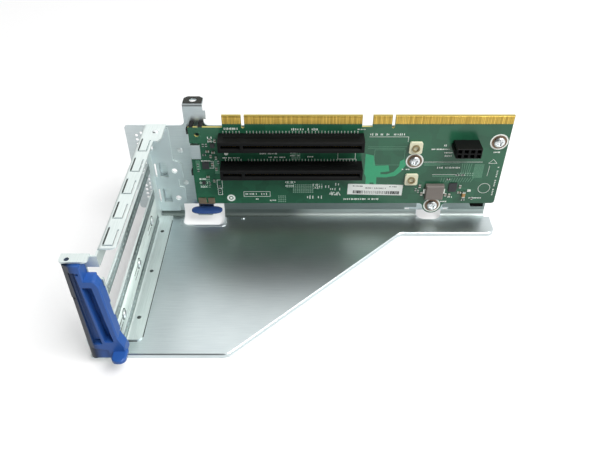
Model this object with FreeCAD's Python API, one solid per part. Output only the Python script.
"""Riser cage of a rack server, built as the real one is: a folded steel tray and bracket wall,
a riser board with two x16 slots, and a latch that holds the card brackets down.

Millimetres. +X runs right along the board, +Y to the back, +Z up. The sheet is laid out from
natural datums: X = 0 on the bracket wall's outer face, Y = 0 on the board's component face and
Z = 0 under the tray's lip. Every piece is moved at export so that the origin is the middle of
the footprint, on the plane the cage stands on.
"""
import FreeCAD, Part
import math
import os

V = FreeCAD.Vector

# ---------------------------------------------------------------- driving dimensions (mm)
# folded steel tray and its back wall
sheet = 1.0                # gauge of the galvanised steel
fold = 0.8                 # inside radius of the tight folds
tray_fold = 2.6            # softer fold between the tray and the back wall
lip = 3.0                  # height of the turned-down lip, so of the tray's top face
lip_bevel = 0.6            # bevel that stands for the lip's tight outer fold
wall_gap = 4.0             # board's back face to the back wall
wall_top = 73.0
wall_short = 3.4           # the wall ends this far inside the board's end
wall_trim = 4.0            # slanted cut at the wall's upper right corner
tray_beyond = 0.6          # and the tray this far outside it
tray_toe = 1.5             # the tray's front edge beyond the ledge
tray_nose = 57.0           # right end of the front edge, where the diagonal starts
tray_step = -14.2          # front edge of the narrow stretch under the board
tray_knee = 162.5          # where the diagonal meets that stretch
corner = 6.0               # rounded corners of the tray
small_corner = 2.0

# vented panel at the left of the back wall
vent_left = -12.8
vent_low = 9.0
vent_flats = 2.0           # hexagonal vents, across flats
vent_pitch = 3.2
vent_rows = 16
first_vent = (-6.2, 18.0)

# openings at the foot of the back wall
touch_left, touch_right = 17.0, 44.3
touch_front, touch_top = -5.6, 12.4
relief_width, relief_top, relief_front = 17.0, 7.2, 0.4
spot_size, spot_z = 3.0, 7.2
spot_offsets = (-14.9, 11.1)       # square spots, from the middle of the relief opening

# hook arm above the back wall, and the tab that grips the board
hook_left, hook_right = 24.6, 36.8
hook_top, hook_rear = 87.5, 15.6
hook_corner = 2.6
hook_hole_r, hook_hole_back = 2.3, 4.2     # hole, and its middle behind the wall
root_flare = 3.0           # how far the arm widens at its root
nub_low, nub_high, nub_reach = 4.6, 10.0, 1.5
grip_clearance = 0.5       # tab in the board's notch
grip_gap = 0.3             # tab over the board's face
grip_overhang = 1.2

# tongue and touch pad in the touch opening
tongue_width = 10.0
tongue_shift = 1.6
pad_length, pad_width, pad_height, pad_flat = 20.6, 7.4, 3.0, 0.1
pad_middle_y = 1.7

# bracket wall
flange_top = 74.0          # top face of its upper flange
flange_width = 9.0
flange_inset = 4.5         # its front end behind the ledge's face
flange_corner = 3.0
foot_inset = 8.0           # the same for the flange that lies on the tray
slot_pitch = 20.32         # card slots on a server's 0.8 inch pitch
slot_height = 13.8
top_slot = 58.8            # height of the uppermost opening's centre
slot_rear = -4.5
finger_pitch = 20.6
finger_length, finger_width = 13.4, 4.0
finger_gap = 0.8
finger_left, finger_start = 2.0, 2.6
finger_count = 5
cage_depth = 114.0         # board's face to the ledge that takes the bracket tabs
ledge_left = -16.0
ledge_rise = 2.0           # ledge's lower edge above the tray
notch_left, notch_bottom, notch_top = -5.2, 58.0, 66.3     # notch in the ledge for a card bracket's tab
ear_left, ear_right, ear_reach = -15.6, -2.3, 5.0      # and how far they stand out from the ledge
low_ear = 5.0              # top face of the lower ear
stop_low, stop_high, stop_reach = 8.0, 14.0, 1.0
boss_r, boss_h, boss_rise = 2.4, 0.7, 0.8
first_boss, boss_pitch, boss_count = 13.2, 39.8, 3     # the first one behind the ledge's face
lance_start, lance_length, lance_height, lance_drop = 10.5, 6.5, 1.0, 2.2
slit_left, slit_width, slit_height = 1.4, 1.4, 10.2    # slits that take the card brackets' tongues
tongue_rise = 1.9          # middle of a slit above the middle of its slot
pocket_left, pocket_right = 4.6, 10.0
pocket_height, pocket_depth = 11.0, 3.0
peephole_r, peephole_x, peephole_z, peephole_pitch = 1.9, 14.4, 39.8, 21.8
tab_front, tab_slant, tab_right = -14.0, 3.5, 13.4     # rear tab of the upper flange
rear_low, rear_high = 7.0, 72.0                        # rear flange's lower and upper ends
rear_narrow, rear_wide = 14.2, 19.4
rear_step_low, rear_step_high = 14.4, 48.0
nick_low, nick_high, nick_left = 26.2, 34.2, 16.2      # nick round the lower rivet
rivet_r, rivet_h = 1.9, 0.7
rivets = ((19.8, 54.9), (20.4, 30.0))
tab_rivet = (8.6, -3.3)
shelf_front = -9.0

# riser board
board_left = 27.4
board_bottom, board_shoulder = 17.0, 74.9
board_thick = 1.57
board_corner = 2.0
tongue_height = 8.4
tongue_length = 85.2       # edge of a x16 card
tongue_left = 48.6         # the first tongue's left end; the second ends flush with the board
tongue_space = 6.4         # between the two tongues
tongue_bevel = 0.45
tongue_gap_rise = 0.4      # shoulder between the tongues
key_offset, key_width, key_depth = 11.65, 1.9, 8.9
contact_pitch, contact_width, contact_height = 1.0, 0.7, 5.4
contact_margin = 0.6       # bevelled edge to the plating
plating = 0.05
contact_counts = (11, 71)  # on each side of the key
notch_low, notch_high, notch_depth = 52.3, 63.5, 5.1
corner_hole_r, corner_hole_inset = 1.5, 5.1
ear_r, ear_blend = 6.4, 3.0        # board's ear round the lowest screw

# x16 connectors
socket_length, socket_height, socket_depth = 89.0, 7.5, 11.25
socket_left = 46.1
socket_rise = 8.4          # middle of a connector above the middle of its bracket slot
socket_bevel = 0.5
card_thick, card_depth = 1.8, 8.0
mouth = 0.8                # lead-in on each side of the card slot
groove_inset, groove_front, groove_width, groove_depth = 3.0, 5.2, 0.8, 0.7
lead_width, lead_reach, lead_thick = 0.5, 1.5, 0.4
lead_row_count = 2         # staggered rows of leads on each side; the outer one shows

# fasteners, from the board's lower right corner
screw_r, screw_clearance = 1.5, 0.6
head_r, head_h = 3.1, 2.2
standoff_flats = 6.0
screw_places = ((6.0, 47.6), (56.8, 33.6), (41.2, -1.6))

# power socket, from the board's lower right corner
header_right, header_low = 18.7, 42.3
header_length, header_height, header_depth = 15.6, 6.8, 11.0
header_cells, header_rows = 4, 2
header_bevel, header_floor = 0.4, 2.0
cell_size, pin_size, pin_recess = 2.5, 0.7, 2.5
rib_out, rib_height, rib_low, rib_length = 0.7, 2.4, 2.0, 7.5

# inductor, from the same corner
core_right, core_low = 35.6, 4.9
core_length, core_width, core_thick, core_bevel = 11.8, 11.1, 3.4, 0.6
terminal_reach, terminal_thick, terminal_width = 1.2, 1.0, 3.6

# coaxial test sockets, from the same corner
test_places = ((57.3, 43.9), (57.5, 19.9))
test_side, test_base, test_corner = 8.2, 1.6, 0.8
shell_r, shell_bore, shell_height = 2.4, 1.6, 1.0

# small parts: across from the board's end, up from its lower edge, width, height
left_chips = ((8.7, 30.5, 4.2, 5.0), (14.1, 45.2, 2.6, 3.0), (6.2, 17.0, 2.2, 2.6))
right_chips = ((29.6, 13.4, 5.2, 6.6),)
left_capacitors = (
    (12.8, 49.4, 1.2, 2.0), (15.8, 48.6, 1.2, 2.0), (10.6, 41.0, 2.0, 1.2), (14.2, 40.2, 2.0, 1.2),
    (12.4, 37.4, 1.2, 2.0), (15.6, 36.2, 1.2, 2.0), (12.8, 31.4, 1.2, 2.4), (15.2, 27.8, 1.2, 2.4),
    (9.2, 21.6, 2.0, 1.2), (13.0, 18.6, 1.2, 2.0),
)
right_capacitors = (
    (51.2, 14.4, 1.4, 2.4), (49.4, 8.2, 1.4, 2.4), (24.8, 14.0, 1.2, 2.2), (24.6, 9.2, 2.2, 1.2),
    (33.5, 7.4, 1.4, 2.2), (31.0, 7.2, 1.4, 2.2),
)
left_resistors = (
    (8.2, 45.4, 1.0, 1.9), (10.2, 45.4, 1.0, 1.9), (8.4, 38.2, 1.9, 1.0), (16.8, 32.8, 1.0, 1.9),
    (3.6, 30.6, 1.0, 1.9), (3.6, 26.6, 1.0, 1.9), (10.0, 16.0, 1.0, 1.9), (16.0, 13.6, 1.0, 1.9),
    (16.0, 9.8, 1.0, 1.9),
)
right_resistors = (
    (53.6, 11.4, 1.0, 1.9), (51.8, 10.2, 1.0, 1.9), (28.0, 23.0, 1.9, 1.0), (24.4, 23.0, 1.9, 1.0),
    (21.2, 3.0, 1.9, 1.0), (15.6, 4.4, 1.0, 1.9), (33.2, 19.6, 1.9, 1.0),
)
right_tantalum = ((21.6, 7.6, 2.0, 4.4),)
right_led = ((18.5, 10.6, 2.2, 1.3),)
chip_thick, capacitor_thick, resistor_thick, tantalum_thick, led_thick = 0.9, 0.8, 0.4, 1.6, 0.8

# label, clips and bumper
label_right, label_low, label_length, label_width = 62.2, 7.0, 36.0, 8.4
label_thick, label_slant = 0.1, 1.5
clip_inset, clip_length, clip_thick, clip_rise = 1.2, 10.8, 0.5, 4.6
clip_split, clip_split_width = 5.2, 1.2
edge_clip_z, edge_clip_height, edge_clip_out, edge_clip_thick = (70.6, 39.6), 3.6, 1.7, 3.2
top_clip_offsets, top_clip_width, top_clip_height = (0.8, 6.4), 2.4, 1.4
bumper_right, bumper_length, bumper_low, bumper_lap = 6.2, 8.2, 13.0, 3.0
tape_thick, tape_inset = 0.4, 0.3

# retention latch and its pin
pin_x, pin_reach = -12.0, 3.0      # and how far it stands out from the ledge
pin_r, pin_clearance = 1.25, 0.05
pin_sunk, pin_tail = 0.3, 0.5      # pin's ends: below the upper ear's face, and out of the lower one
knuckle_r = 2.7
cheek_right, cheek_low = -10.6, 51.0       # slanted cheek that closes the latch round its pin, and its step
cheek_head, cheek_neck = (2.3, 1.9), (1.6, 2.6)        # its nose, to the left of the pin and before it
cheek_foot = (0.2, 3.2)
latch_gap = 0.3            # to the ears above and below, and to the ledge behind
latch_thick = 6.7
latch_bevel = 0.6
latch_head, latch_head_right = 9.4, -5.5   # block above the lobe
lobe_right, waist_right, hip_right, foot_right = -0.6, 1.0, 5.3, 2.4
waist_z, hip_z, hip_rise = 59.0, 16.0, 6.5
channel_depth, slot_depth, recess_depth = 2.2, 5.2, 1.6
recess_rise, recess_slope = 4.0, 2.0       # top of the thumb's recess above the thumb, and its slant
slot_left, slot_width, slot_low, slot_high = -4.2, 4.6, 19.5, 59.0
channel_left, channel_low, channel_drop = -10.2, 18.0, 4.0
ridge = 1.5                # between the channel and the slot
rib_lean = 3.0             # how far the channel and the slot lean to the left at their tops
cross_slot, cross_length = 1.2, 3.4        # short slots across the channel's ends
relief_left, relief_depth, relief_height = -1.0, 1.2, 10.0     # hollows behind the blade for bracket tabs
thumb_left, thumb_width, thumb_reach = -1.6, 7.6, 6.4
thumb_low, thumb_thick, thumb_corner = 9.4, 3.0, 3.2

ledge_front = -cage_depth
tray_front = ledge_front - tray_toe
flange_front, foot_front = ledge_front + flange_inset, ledge_front + foot_inset
ear_front, pin_y = ledge_front - ear_reach, ledge_front - pin_reach
latch_face = ledge_front - latch_gap - latch_thick
thumb_front = latch_face - thumb_reach
board_right = tongue_left + 2 * tongue_length + tongue_space
wall_right = board_right - wall_short
tray_right = board_right + tray_beyond
board_back = board_thick
wall_front = board_back + wall_gap
wall_back = wall_front + sheet
screws = [(board_right - u, board_bottom + w) for u, w in screw_places]
pad_x = (touch_left + touch_right) / 2 + tongue_shift
origin = V((ledge_left - stop_reach + tray_right) / 2, (thumb_front + hook_rear) / 2, 0)

AXES = {
    "XY": lambda u, v, w: V(u, v, w),
    "XZ": lambda u, v, w: V(u, w, v),
    "YZ": lambda u, v, w: V(w, u, v),
}


# ---------------------------------------------------------------- working forms
def box(x0, x1, y0, y1, z0, z1):
    """Block between two values on each axis."""
    return Part.makeBox(x1 - x0, y1 - y0, z1 - z0, V(x0, y0, z0))


def plate(corners, plane, start, end):
    """Plate through (u, v, radius) corners, from start to end along the plane's normal."""
    put = AXES[plane]
    ends = []
    for i, (u, v, r) in enumerate(corners):
        here = V(u, v, 0)
        back = (V(*corners[i - 1][:2], 0) - here).normalize()
        on = (V(*corners[(i + 1) % len(corners)][:2], 0) - here).normalize()
        half = back.getAngle(on) / 2
        run = r / math.tan(half) if r else 0
        middle = here + (back + on).normalize() * (r / math.sin(half) - r) if r else here
        ends.append((here + back * run, middle, here + on * run, r))
    edges = []
    for i, (enter, middle, leave, r) in enumerate(ends):
        if r:
            arc = [put(p.x, p.y, start) for p in (enter, middle, leave)]
            edges.append(Part.Arc(*arc).toShape())
        following = ends[(i + 1) % len(ends)][0]
        if (following - leave).Length > 1e-6:
            line = [put(p.x, p.y, start) for p in (leave, following)]
            edges.append(Part.makeLine(*line))
    face = Part.Face(Part.Wire(Part.__sortEdges__(edges)))
    return face.extrude(put(0, 0, end) - put(0, 0, start))


def block(x, z, width, height, y0, y1):
    """Block centred at (x, z) on the board or on a wall."""
    return box(x - width / 2, x + width / 2, y0, y1, z - height / 2, z + height / 2)


def rod(radius, plane, u, v, start, end):
    """Round bar along the plane's normal."""
    put = AXES[plane]
    return Part.makeCylinder(radius, end - start, put(u, v, start), put(0, 0, 1) - put(0, 0, 0))


def hexagon(flats, plane, u, v, start, end):
    """Hexagonal bar with two flats level."""
    reach = flats / math.sqrt(3)
    turns = [math.radians(60 * k) for k in range(6)]
    corners = [(u + reach * math.cos(a), v + reach * math.sin(a), 0) for a in turns]
    return plate(corners, plane, start, end)


def joined(first, *others):
    """One clean solid from overlapping or touching ones."""
    return first.fuse(list(others)).removeSplitter()


def edges_at(shape, test):
    """Edges whose every vertex and middle pass the test."""
    chosen = []
    for edge in shape.Edges:
        middle = edge.valueAt((edge.FirstParameter + edge.LastParameter) / 2)
        points = [v.Point for v in edge.Vertexes] + [middle]
        if all(test(p) for p in points):
            chosen.append(edge)
    return chosen


def near(a, b):
    return abs(a - b) < 1e-4


def export(node, shape):
    """Write one sub-part, moved to the export origin."""
    moved = shape.copy()
    moved.translate(-origin)
    moved.exportStep("parts/%s.step" % node)


# ---------------------------------------------------------------- folded steel
def slot_middle(k):
    """Height of the middle of a bracket slot, counted from the top."""
    return top_slot - k * slot_pitch


def tongue_pockets(start, end, grow=0.0):
    """Blocks for the pockets beside the rear ends of the two lower bracket slots."""
    blocks = []
    for k in (1, 2):
        z = slot_middle(k) + tongue_rise
        x = (pocket_left + pocket_right) / 2
        width = pocket_right - pocket_left + 2 * grow
        blocks.append(block(x, z, width, pocket_height + 2 * grow, start, end))
    return blocks


def tongue_slits():
    """Slits through both sheets that take the tongues of the card brackets."""
    x = slit_left + slit_width / 2
    heights = [slot_middle(k) + tongue_rise for k in range(3)]
    return [block(x, z, slit_width, slit_height, wall_front - 2 * sheet, wall_back + sheet) for z in heights]


def peepholes():
    """Round holes beside the two pockets, through both sheets of the back wall."""
    heights = [peephole_z - k * peephole_pitch for k in range(2)]
    return [rod(peephole_r, "XZ", peephole_x, z, wall_front - 2 * sheet, wall_back + sheet) for z in heights]


def tray_floor():
    """Floor with its rounded outline, the lip turned down on the four free sides."""
    rear = wall_front - tray_fold
    outline = [
        (0, tray_front, flange_corner), (tray_nose, tray_front, corner), (tray_knee, tray_step, corner),
        (tray_right, tray_step, corner), (tray_right, rear, 0), (0, rear, 0),
    ]
    floor = plate(outline, "XY", 0, lip)
    slope = math.hypot(tray_knee - tray_nose, tray_step - tray_front)
    shift = sheet * (slope - (tray_knee - tray_nose)) / (tray_step - tray_front)
    hollow = [
        (sheet, tray_front + sheet, flange_corner - sheet),
        (tray_nose - shift, tray_front + sheet, corner - sheet),
        (tray_knee - shift, tray_step + sheet, corner + sheet),
        (tray_right - sheet, tray_step + sheet, corner - sheet),
        (tray_right - sheet, rear + 1, 0), (sheet, rear + 1, 0),
    ]
    floor = floor.cut(plate(hollow, "XY", -1, lip - sheet))
    rim = edges_at(floor, lambda p: near(p.z, lip) and p.y < rear - 1 and p.x > sheet)
    rim += edges_at(floor, lambda p: near(p.z, lip) and near(p.x, tray_right))
    return floor.makeChamfer(lip_bevel, list({e.hashCode(): e for e in rim}.values()))


def panel_vents():
    """Two staggered columns of hexagonal vents."""
    left, low = first_vent
    across = vent_pitch * math.cos(math.radians(15))
    vents = []
    for row in range(vent_rows):
        for column in range(2):
            x = left + across * column
            z = low + vent_pitch * (row + column / 2)
            vents.append(hexagon(vent_flats, "XZ", x, z, wall_front - 1, wall_back + 1))
    return vents


def back_wall():
    """Back wall rising from the floor through a soft fold, with the vented panel at its left."""
    rear = wall_front - tray_fold
    start = rear - fold
    profile = [
        (start, lip - sheet, 0), (wall_back, lip - sheet, tray_fold + sheet), (wall_back, wall_top, 0),
        (wall_front, wall_top, 0), (wall_front, lip, tray_fold), (start, lip, 0),
    ]
    wall = plate(profile, "YZ", 0, wall_right)
    low, left = wall_top - wall_trim, wall_right - wall_trim
    beyond = wall_right + wall_trim
    trim = [(left, wall_top, 0), (wall_right, low, 0), (beyond, wall_top, 0), (wall_right, wall_top + 1, 0)]
    wall = wall.cut(plate(trim, "XZ", wall_front - 1, wall_back + 1))
    panel = plate([(vent_left, vent_low, small_corner), (sheet, vent_low, 0), (sheet, wall_top, 0),
                   (vent_left, wall_top, small_corner)], "XZ", wall_front, wall_back)
    end = box(wall_right - 1, tray_right, start, rear, lip - sheet, lip)
    return joined(wall, panel.cut(panel_vents()), end)


def hook_arm():
    """Arm rising from the wall and turned back over it, with a hole at its end."""
    profile = [
        (wall_front, wall_top - 1, 0), (wall_back, wall_top - 1, 0), (wall_back, hook_top - sheet, fold),
        (hook_rear, hook_top - sheet, 0), (hook_rear, hook_top, 0), (wall_front, hook_top, fold + sheet),
    ]
    arm = plate(profile, "YZ", hook_left, hook_right)
    tips = edges_at(arm, lambda p: near(p.y, hook_rear) and (near(p.x, hook_left) or near(p.x, hook_right)))
    arm = arm.makeFillet(hook_corner, tips)
    arm = arm.cut(rod(hook_hole_r, "XY", (hook_left + hook_right) / 2, wall_back + hook_hole_back,
                      hook_top - 2 * sheet, hook_top + 1))
    left, right, top = hook_left - root_flare, hook_right + root_flare, wall_top + root_flare
    root = [
        (left, wall_top, 0), (hook_left, wall_top, root_flare * 0.95), (hook_left, top, 0),
        (hook_right, top, 0), (hook_right, wall_top, root_flare * 0.95), (right, wall_top, 0),
        (right, wall_top - 1, 0), (left, wall_top - 1, 0),
    ]
    nub = box(hook_right - 1, hook_right + nub_reach, wall_front, wall_back,
              wall_top + nub_low, wall_top + nub_high)
    return joined(arm, plate(root, "XZ", wall_front, wall_back), nub)


def board_grip():
    """Tab turned forward from the wall, through the board's notch and over its face."""
    low, high = notch_low + grip_clearance, notch_high - grip_clearance
    left = board_left + grip_clearance
    front = -grip_gap - sheet
    stem = box(left, left + sheet, front, wall_front, low, high)
    cap = box(left, board_left + notch_depth + grip_overhang, front, -grip_gap, low, high)
    return joined(stem, cap)


def touch_tongue():
    """Tab left hanging in the touch opening and turned forward, which carries the touch pad."""
    top = touch_top - sheet - pad_height
    profile = [
        (-fold, top - sheet, 0), (wall_back, top - sheet, sheet),
        (wall_back, touch_top + 1, 0), (wall_front, touch_top + 1, 0),
        (wall_front, top, 0), (-fold, top, 0),
    ]
    return plate(profile, "YZ", pad_x - tongue_width / 2, pad_x + tongue_width / 2)


def foot_openings():
    """Touch opening, relief opening and the square spots beside it."""
    low = lip - sheet - 1
    touch = [
        (touch_left, touch_front, corner * 0.6), (touch_right, touch_front, corner * 0.6),
        (touch_right, wall_back + 1, 0), (touch_left, wall_back + 1, 0),
    ]
    x = screws[2][0]
    left, right = x - relief_width / 2, x + relief_width / 2
    relief = [
        (left, wall_back + 1, 0), (left, relief_front, corner),
        (right, relief_front, corner), (right, wall_back + 1, 0),
    ]
    cuts = [plate(touch, "XY", low, touch_top), plate(relief, "XY", low, relief_top)]
    for offset in spot_offsets:
        cuts.append(block(x + offset, spot_z, spot_size, spot_size, wall_front - 1, wall_back + 1))
    return cuts


def base_tray():
    tray = joined(tray_floor(), back_wall(), hook_arm())
    tray = tray.cut(foot_openings() + peepholes() + tongue_pockets(wall_front - 1, wall_back + 1, sheet / 2))
    outer = tongue_pockets(wall_front, wall_front + pocket_depth + sheet, sheet)
    inner = tongue_pockets(wall_front - 1, wall_front + pocket_depth)
    cups = [cup.cut(hollow) for cup, hollow in zip(outer, inner)]
    shelf = box(sheet + fold, tab_right - fold, shelf_front, wall_front, wall_top - sheet, wall_top)
    whole = joined(tray, *cups, shelf, board_grip(), touch_tongue())
    return whole.cut(tongue_slits())


def bracket_web():
    """Web of the bracket wall with its two long flanges, folded from one sheet."""
    foot, top = lip, flange_top
    middle = (foot + top) / 2
    outer = fold + sheet
    upper = [
        (0, middle, 0), (sheet, middle, 0), (sheet, top - sheet, fold), (flange_width, top - sheet, 0),
        (flange_width, top, 0), (0, top, outer),
    ]
    lower = [
        (0, middle, 0), (0, foot, outer), (flange_width, foot, 0), (flange_width, foot + sheet, 0),
        (sheet, foot + sheet, fold), (sheet, middle, 0),
    ]
    halves = []
    for profile, front in ((upper, flange_front), (lower, foot_front)):
        half = plate(profile, "XZ", front, wall_front)
        tip = edges_at(half, lambda p: near(p.y, front) and near(p.x, flange_width))
        halves.append(half.makeFillet(flange_corner, tip))
    strip = box(0, sheet, ledge_front, foot_front, foot + ledge_rise, top - sheet)
    notch = box(-1, sheet + 1, ledge_front - 1, ledge_front + sheet + fold, notch_bottom, notch_top)
    clear_of_fold = box(-1, flange_width + 1, wall_front - tray_fold, wall_front + 1,
                        foot - 1, foot + tray_fold)
    return joined(*halves, strip).cut([clear_of_fold, notch])


def web_openings():
    """Bracket slots, the sprung fingers lanced from the upper flange, and the lower strip's lances."""
    cuts = []
    front = ledge_front + sheet + fold
    for k in range(2):
        low = slot_middle(k) - slot_height / 2
        cuts.append(box(-1, sheet + 1, front, slot_rear, low, low + slot_height))
    for k in range(finger_count):
        y = flange_front + finger_start + k * finger_pitch
        inner = finger_left + finger_gap + finger_width
        low, high = flange_top - 2 * sheet, flange_top + 1
        cuts.append(box(finger_left, finger_left + finger_gap, y, y + finger_length, low, high))
        cuts.append(box(inner, inner + finger_gap, y, y + finger_length - small_corner, low, high))
        cuts.append(box(finger_left, inner + finger_gap, y - finger_gap, y, low, high))
    z = slot_middle(2) - lance_drop
    for k in range(boss_count):
        y = ledge_front + first_boss + boss_pitch * k - lance_start
        cuts.append(box(-1, sheet + 1, y, y + lance_length, z, z + lance_height))
    return cuts


def rear_flange():
    """Flange that lies on the back wall, with a nick round the lower rivet."""
    front = wall_front - sheet
    outline = [
        (sheet / 2, rear_low, 0), (rear_narrow, rear_low, 0), (rear_narrow, rear_step_low - small_corner, 0),
        (rear_wide, rear_step_low, small_corner), (rear_wide, nick_low, 0), (nick_left, nick_low + 1, 0),
        (nick_left, nick_high - 1, 0), (rear_wide, nick_high, 0),
        (rear_wide, rear_step_high - small_corner, small_corner), (rear_narrow, rear_step_high, 0),
        (rear_narrow, rear_high, 0), (sheet / 2, rear_high, 0),
    ]
    flange = plate(outline, "XZ", front, wall_front)
    return flange.cut(tongue_pockets(front - 1, wall_front + 1) + peepholes())


def latch_ledge():
    """Ledge turned outward at the wall's front, with the stop and the two ears of the hinge pin."""
    low, high = lip + ledge_rise, flange_top - sheet
    back = ledge_front + sheet
    ledge = plate([(ledge_left, low, 1), (sheet, low, 0), (sheet, high, 0), (ledge_left, high, 1)],
                  "XZ", ledge_front, back)
    ledge = ledge.cut(box(notch_left, sheet, ledge_front - 1, back + 1, notch_bottom, notch_top))
    stop = box(ledge_left - stop_reach, ledge_left + 1, ledge_front, back, stop_low, stop_high)
    ears = []
    for z in (low_ear, flange_top):
        ear = plate([(ear_left, ear_front, small_corner), (ear_right, ear_front, small_corner),
                     (ear_right, back, 0), (ear_left, back, 0)], "XY", z - sheet, z)
        ears.append(ear.cut(rod(pin_r, "XY", pin_x, pin_y, z - 2 * sheet, z + 1)))
    return joined(ledge, stop, *ears)


def bracket_wall():
    web = bracket_web().cut(web_openings())
    left = flange_width - 1
    tab = [
        (left, tab_front, 0), (tab_right - small_corner, tab_front, 0),
        (tab_right, tab_front + tab_slant, 0), (tab_right, wall_front, 0), (left, wall_front, 0),
    ]
    tab = plate(tab, "XY", flange_top - sheet, flange_top)
    bosses = []
    for k in range(boss_count):
        y, z = ledge_front + first_boss + boss_pitch * k, slot_middle(2) + boss_rise
        bosses.append(rod(boss_r, "YZ", y, z, sheet / 2, sheet + boss_h))
    return joined(web, tab, rear_flange(), latch_ledge(), *bosses).cut(tongue_slits())


def wall_rivets():
    """Rivet heads on the back wall and on the rear tab of the upper flange."""
    heads = [rod(rivet_r, "XZ", x, z, wall_front - rivet_h, wall_front) for x, z in rivets]
    heads.append(rod(rivet_r, "XY", *tab_rivet, flange_top, flange_top + rivet_h))
    return Part.makeCompound(heads)


# ---------------------------------------------------------------- riser board
def riser_board():
    top = board_shoulder + tongue_height
    gap_left, gap_right = tongue_left + tongue_length, board_right - tongue_length
    gap_floor = board_shoulder + tongue_gap_rise
    outline = [
        (board_left, board_bottom, board_corner), (board_right, board_bottom, board_corner),
        (board_right, top, 0),
        (gap_right, top, 0), (gap_right, gap_floor, 0), (gap_left, gap_floor, 0),
        (gap_left, top, 0), (tongue_left, top, 0), (tongue_left, board_shoulder, 0),
        (board_left, board_shoulder, 0), (board_left, notch_high, 0),
        (board_left + notch_depth, notch_high, 0), (board_left + notch_depth, notch_low, 0),
        (board_left, notch_low, 0),
    ]
    board = plate(outline, "XZ", 0, board_thick)
    x, z = screws[2]
    board = joined(board, rod(ear_r, "XZ", x, z, 0, board_thick))
    roots = edges_at(board, lambda p: near(p.z, board_bottom) and abs(p.x - x) < ear_r + 1)
    board = board.makeFillet(ear_blend, [e for e in roots if near(e.Length, board_thick)])
    rims = edges_at(board, lambda p: near(p.z, top))
    board = board.makeChamfer(tongue_bevel, [e for e in rims if e.Length > 2 * board_thick])
    cuts = []
    for left in (tongue_left, gap_right):
        middle = left + key_offset + key_width / 2
        foot = top - key_depth + key_width / 2
        cuts.append(box(middle - key_width / 2, middle + key_width / 2, -1, board_thick + 1, foot, top + 1))
        cuts.append(rod(key_width / 2, "XZ", middle, foot, -1, board_thick + 1))
    for x, z in screws:
        cuts.append(rod(screw_r + screw_clearance, "XZ", x, z, -1, board_thick + 1))
    cuts.append(rod(corner_hole_r, "XZ", board_left + corner_hole_inset, board_shoulder - corner_hole_inset,
                    -1, board_thick + 1))
    return board.cut(cuts)


def contact_places(left, width):
    """Left ends of the contacts of one x16 edge or slot, on both sides of its key."""
    places = []
    sections = ((left, key_offset), (left + key_offset + key_width, tongue_length - key_offset - key_width))
    for count, (start, length) in zip(contact_counts, sections):
        first = start + (length - (count - 1) * contact_pitch - width) / 2
        places += [first + k * contact_pitch for k in range(count)]
    return places


def edge_contacts(face, out):
    """Plated contacts of both tongues on one face, ground away to nothing at the bevelled edge."""
    top = board_shoulder + tongue_height - contact_margin
    low = top - contact_height
    pads = []
    for left in (tongue_left, board_right - tongue_length):
        for x in contact_places(left, contact_width):
            pads.append(plate([(face, low, 0), (out, low, 0), (face, top, 0)], "YZ", x, x + contact_width))
    return Part.makeCompound(pads)


def socket(k):
    """Housing of a x16 connector: card slot with a lead-in, key bar and grooved flanks."""
    z = slot_middle(k) + socket_rise
    left, right = socket_left, socket_left + socket_length
    front, half = -socket_depth, card_thick / 2
    body = block((left + right) / 2, z, socket_length, socket_height, front, 0)
    body = body.makeChamfer(socket_bevel, edges_at(body, lambda p: near(p.y, front)))
    slot_left = (left + right - tongue_length) / 2
    key = slot_left + key_offset
    throat = [
        (front - mouth, z - half - 2 * mouth, 0), (front + mouth, z - half, 0),
        (front + card_depth, z - half, 0), (front + card_depth, z + half, 0),
        (front + mouth, z + half, 0), (front - mouth, z + half + 2 * mouth, 0),
    ]
    halves = ((slot_left, key), (key + key_width, slot_left + tongue_length))
    cuts = [plate(throat, "YZ", start, end) for start, end in halves]
    length = socket_length - 2 * groove_inset
    for side in (-1, 1):
        flank = z + side * socket_height / 2
        cuts.append(block((left + right) / 2, flank, length, 2 * groove_depth,
                          front + groove_front, front + groove_front + groove_width))
    return body.cut(cuts)


def socket_leads(k):
    """Outer leads of one connector, a row above and a row below, each tapering to its toe in the solder."""
    z = slot_middle(k) + socket_rise
    slot_left = socket_left + (socket_length - tongue_length) / 2
    leads = []
    for side in (-1, 1):
        heel = z + side * socket_height / 2
        wedge = [(0, heel, 0), (-lead_thick, heel, 0), (0, heel + side * lead_reach, 0)]
        for x in contact_places(slot_left, lead_width)[::lead_row_count]:
            leads.append(plate(wedge, "YZ", x, x + lead_width))
    return Part.makeCompound(leads)


def header_places():
    """Middles of the power socket's cells."""
    left, low = board_right - header_right - header_length, board_bottom + header_low
    across, up = header_length / header_cells, header_height / header_rows
    middles = []
    for j in range(header_rows):
        middles += [(left + across * (i + 0.5), low + up * (j + 0.5)) for i in range(header_cells)]
    return middles


def power_header():
    """Two-row power socket with a rib on each side and one cavity to each contact."""
    right, low = board_right - header_right, board_bottom + header_low
    left = right - header_length
    body = box(left, right, -header_depth, 0, low, low + header_height)
    body = body.makeChamfer(header_bevel, edges_at(body, lambda p: near(p.y, -header_depth)))
    cells = [block(x, z, cell_size, cell_size, -header_depth - 1, -header_floor) for x, z in header_places()]
    rib_top = low + rib_low + rib_height
    ribs = [box(x - rib_out, x + rib_out, -rib_length, 0, low + rib_low, rib_top) for x in (left, right)]
    return joined(body, *ribs).cut(cells)


def header_pins():
    """Square pins of the power socket, seated in the floor of its cavities."""
    tip = pin_recess - header_depth
    pins = [block(x, z, pin_size, pin_size, tip, -header_floor) for x, z in header_places()]
    return Part.makeCompound(pins)


def inductor_core():
    right, low = board_right - core_right, board_bottom + core_low
    body = box(right - core_length, right, -core_thick, 0, low, low + core_width)
    return body.makeChamfer(core_bevel, edges_at(body, lambda p: near(p.y, -core_thick)))


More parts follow.
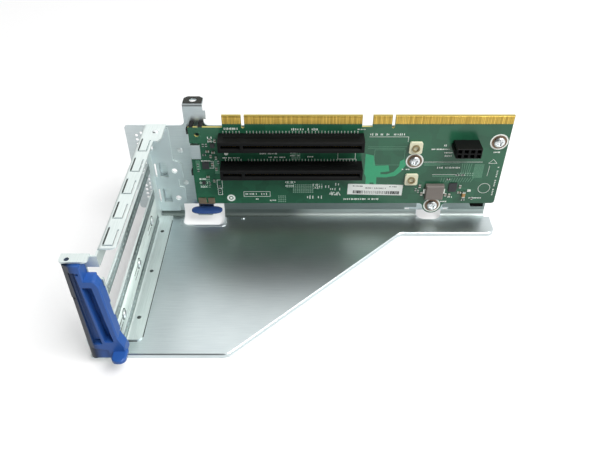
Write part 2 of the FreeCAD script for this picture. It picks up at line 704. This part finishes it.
def inductor_terminals():
    """Folded terminals on the two sides of the inductor."""
    right, z = board_right - core_right, board_bottom + core_low + core_width / 2
    solids = []
    for x in (right + terminal_reach / 2, right - core_length - terminal_reach / 2):
        solids.append(block(x, z, terminal_reach, terminal_width, -terminal_thick, 0))
    return Part.makeCompound(solids)


def surface_parts(left_places, right_places, thick):
    """Small parts soldered flat on the board's face."""
    places = [(board_left + u, w, width, height) for u, w, width, height in left_places]
    places += [(board_right - u, w, width, height) for u, w, width, height in right_places]
    solids = [block(x, board_bottom + w, width, height, -thick, 0) for x, w, width, height in places]
    return Part.makeCompound(solids)


def test_sockets():
    """Middles of the two coaxial test sockets."""
    return [(board_right - u, board_bottom + w) for u, w in test_places]


def test_socket_bases():
    """Square insulators of the two coaxial test sockets."""
    bases = []
    for x, z in test_sockets():
        base = block(x, z, test_side, test_side, -test_base, 0)
        uprights = [e for e in base.Edges if near(e.Length, test_base)]
        bases.append(base.makeChamfer(test_corner, uprights))
    return Part.makeCompound(bases)


def test_socket_shells():
    """Round contact shells standing on the insulators."""
    shells = []
    for x, z in test_sockets():
        shell = rod(shell_r, "XZ", x, z, -test_base - shell_height, -test_base)
        shells.append(shell.cut(rod(shell_bore, "XZ", x, z, -test_base - 2 * shell_height, -test_base)))
    return Part.makeCompound(shells)


def board_screws():
    """Pan-head screws through the board, down to the standoffs."""
    solids = []
    for x, z in screws:
        head = rod(head_r, "XZ", x, z, -head_h, 0)
        solids.append(joined(head, rod(screw_r, "XZ", x, z, -head_h / 2, board_back)))
    return Part.makeCompound(solids)


def board_standoffs():
    """Hexagonal standoffs that hold the board off the back wall."""
    return Part.makeCompound([hexagon(standoff_flats, "XZ", x, z, board_back, wall_front) for x, z in screws])


def board_label():
    """Paper label, stuck on at a slight slant."""
    x = board_right - label_right - label_length / 2
    z = board_bottom + label_low + label_width / 2
    label = block(x, z, label_length, label_width, -label_thick, 0)
    label.rotate(V(x, 0, z), V(0, 1, 0), label_slant)
    return label


def grounding_clip():
    """Sprung clip folded round the board's lower left corner, split into two leaves in front."""
    left = board_left + clip_inset
    front, back, foot = -clip_thick, board_back + clip_thick, board_bottom - clip_thick
    top = board_bottom + clip_rise
    profile = [
        (front, top, 0), (front, foot, clip_thick), (back, foot, clip_thick), (back, top, 0),
        (board_back, top, 0), (board_back, board_bottom, 0), (0, board_bottom, 0), (0, top, 0),
    ]
    clip = plate(profile, "YZ", left, left + clip_length)
    split = left + clip_split
    return clip.cut(box(split, split + clip_split_width, front - 1, 0, board_bottom + clip_thick, top + 1))


def edge_clips():
    """Black clips on the back wall at the board's left edge and over its shoulder."""
    clips = []
    front, left = wall_front - edge_clip_thick, board_left - edge_clip_out
    for middle in edge_clip_z:
        low = middle - edge_clip_height / 2
        clips.append(box(left, board_left, front, wall_front, low, low + edge_clip_height))
    top = board_shoulder + top_clip_height
    for offset in top_clip_offsets:
        left = board_left + offset
        clips.append(box(left, left + top_clip_width, 0, wall_front, board_shoulder, top))
    return Part.makeCompound(clips)


def board_bumper():
    """Rubber block between the wall and the board's lower right corner."""
    right = board_right - bumper_right
    return box(right - bumper_length, right, board_back, wall_front, bumper_low, board_bottom + bumper_lap)


def hook_tape():
    """Black damping tape on top of the hook."""
    rear = hook_rear - tape_inset
    tape = box(hook_left + tape_inset, hook_right - tape_inset, wall_back + tape_inset, rear,
               hook_top, hook_top + tape_thick)
    tips = [e for e in edges_at(tape, lambda p: near(p.y, rear)) if near(e.Length, tape_thick)]
    tape = tape.makeChamfer(hook_corner - tape_inset, tips)
    middle = (hook_left + hook_right) / 2
    return tape.cut(rod(hook_hole_r, "XY", middle, wall_back + hook_hole_back, hook_top - 1, hook_top + 1))


# ---------------------------------------------------------------- touch pad, latch and its pin
def touch_pad():
    """Oval pad on the tongue, its outline drawn with four arcs."""
    a, b = pad_length / 2, pad_width / 2
    oval = [(-a, -b, b - pad_flat), (a, -b, b - pad_flat), (a, b, b - pad_flat), (-a, b, b - pad_flat)]
    oval = [(pad_x + u, pad_middle_y + v, r) for u, v, r in oval]
    top = touch_top - sheet
    return plate(oval, "XY", top - pad_height, top)


def latch_blade():
    """Blade of the latch: block at the head, lobe, waist, and hips that widen to the foot."""
    foot, head = low_ear + latch_gap, flange_top - sheet - latch_gap
    lobe = head - latch_head
    outline = [
        (cheek_right, foot, 0), (foot_right, foot, small_corner), (hip_right, hip_z - hip_rise, small_corner),
        (hip_right, hip_z, small_corner), (waist_right + 2, hip_z + hip_rise, 0), (waist_right, waist_z, 0),
        (lobe_right, lobe, small_corner), (latch_head_right, lobe, 0),
        (latch_head_right, head, 0), (cheek_right, head, 0),
    ]
    blade = plate(outline, "XZ", latch_face, ledge_front - latch_gap)
    rim = edges_at(blade, lambda p: near(p.y, latch_face) and p.x > latch_head_right - 0.1)
    return blade.makeChamfer(latch_bevel, rim)


def hinge_cheek(low, low_nose, high, high_nose):
    """Length of the cheek, which runs slanting from the latch's face back to the knuckle."""
    rims = []
    for z, (out, ahead) in ((low, low_nose), (high, high_nose)):
        nose = pin_x - out
        corners = [(cheek_right, latch_face), (nose, pin_y - ahead), (nose, pin_y), (cheek_right, pin_y)]
        rims.append(Part.makePolygon([V(x, y, z) for x, y in corners + corners[:1]]))
    return Part.makeLoft(rims, True, True)


def latch_hollows():
    """Channel and deep slot in the face, cross slots, recess at the foot and hollows for bracket tabs."""
    foot, head = low_ear + latch_gap, flange_top - sheet - latch_gap
    front, back = latch_face - 1, ledge_front - latch_gap
    top = head - channel_drop
    channel = [
        (channel_left, channel_low, 0), (slot_left - ridge, channel_low, 0),
        (slot_left - ridge - rib_lean, top, 0), (channel_left - rib_lean / 2, top, 0),
    ]
    slot_right = slot_left + slot_width
    slot = [
        (slot_left, slot_low, 0), (slot_right, slot_low, 0),
        (slot_right - rib_lean, slot_high, 0), (slot_left - rib_lean, slot_high, 0),
    ]
    recess_top = thumb_low + recess_rise
    recess = [
        (pin_x - knuckle_r, foot - 1, 0), (latch_head_right + 2, foot - 1, 0),
        (latch_head_right + 2, recess_top, 0), (pin_x - knuckle_r, recess_top + recess_slope, 0),
    ]
    cuts = [
        plate(channel, "XZ", front, latch_face + channel_depth),
        plate(slot, "XZ", front, latch_face + slot_depth),
        plate(recess, "XZ", front, latch_face + recess_depth),
    ]
    deep = latch_face + 2 * channel_depth
    for z in (top - cross_slot, channel_low + cross_slot):
        cuts.append(block(channel_left + ridge, z, cross_length, cross_slot, front, deep))
    for k in range(3):
        low = slot_middle(k) - relief_height / 2
        cuts.append(box(relief_left, 2 * hip_right, back - relief_depth, back + 1, low, low + relief_height))
    return cuts


def retention_latch():
    """Moulded latch: a knuckle and cheek round the pin, a ribbed blade and a thumb tab at its foot."""
    foot, head = low_ear + latch_gap, flange_top - sheet - latch_gap
    back = ledge_front - latch_gap
    cheek = joined(hinge_cheek(foot, cheek_foot, cheek_low, cheek_neck),
                   hinge_cheek(cheek_low, cheek_head, head, cheek_head))
    body = joined(latch_blade(), cheek).cut(latch_hollows())
    right = thumb_left + thumb_width
    thumb = [(thumb_left, latch_face + 2, 0), (thumb_left, thumb_front, thumb_corner),
             (right, thumb_front, thumb_corner), (right, latch_face + 2, 0)]
    thumb = plate(thumb, "XY", thumb_low, thumb_low + thumb_thick)
    thumb = thumb.makeChamfer(latch_bevel, edges_at(thumb, lambda p: p.y < latch_face))
    body = joined(body, rod(knuckle_r, "XY", pin_x, pin_y, foot, head), thumb)
    bore = rod(pin_r + pin_clearance, "XY", pin_x, pin_y, foot - 1, head + 1)
    swing = box(pin_x - 2 * knuckle_r, pin_x, pin_y, back + knuckle_r, foot - 1, head + 1)
    swing = swing.cut(rod(knuckle_r, "XY", pin_x, pin_y, foot - 1, head + 1))
    return body.cut([bore, swing])


def latch_pin():
    """Hinge pin pressed through both ears."""
    return rod(pin_r, "XY", pin_x, pin_y, low_ear - sheet - pin_tail, flange_top - pin_sunk)


os.makedirs("parts", exist_ok=True)
export("base_tray", base_tray())
export("bracket_wall", bracket_wall())
export("wall_rivets", wall_rivets())
export("riser_board", riser_board())
export("edge_contacts_front", edge_contacts(0, -plating))
export("edge_contacts_back", edge_contacts(board_back, board_back + plating))
export("socket_upper", socket(0))
export("socket_lower", socket(1))
export("leads_upper", socket_leads(0))
export("leads_lower", socket_leads(1))
export("power_header", power_header())
export("header_pins", header_pins())
export("inductor_core", inductor_core())
export("inductor_terminals", inductor_terminals())
export("controller_chips", surface_parts(left_chips, right_chips, chip_thick))
export("chip_capacitors", surface_parts(left_capacitors, right_capacitors, capacitor_thick))
export("chip_resistors", surface_parts(left_resistors, right_resistors, resistor_thick))
export("tantalum_capacitor", surface_parts((), right_tantalum, tantalum_thick))
export("status_led", surface_parts((), right_led, led_thick))
export("test_socket_bases", test_socket_bases())
export("test_socket_shells", test_socket_shells())
export("board_screws", board_screws())
export("board_standoffs", board_standoffs())
export("board_label", board_label())
export("grounding_clip", grounding_clip())
export("edge_clips", edge_clips())
export("board_bumper", board_bumper())
export("touch_pad", touch_pad())
export("hook_tape", hook_tape())
export("retention_latch", retention_latch())
export("latch_pin", latch_pin())
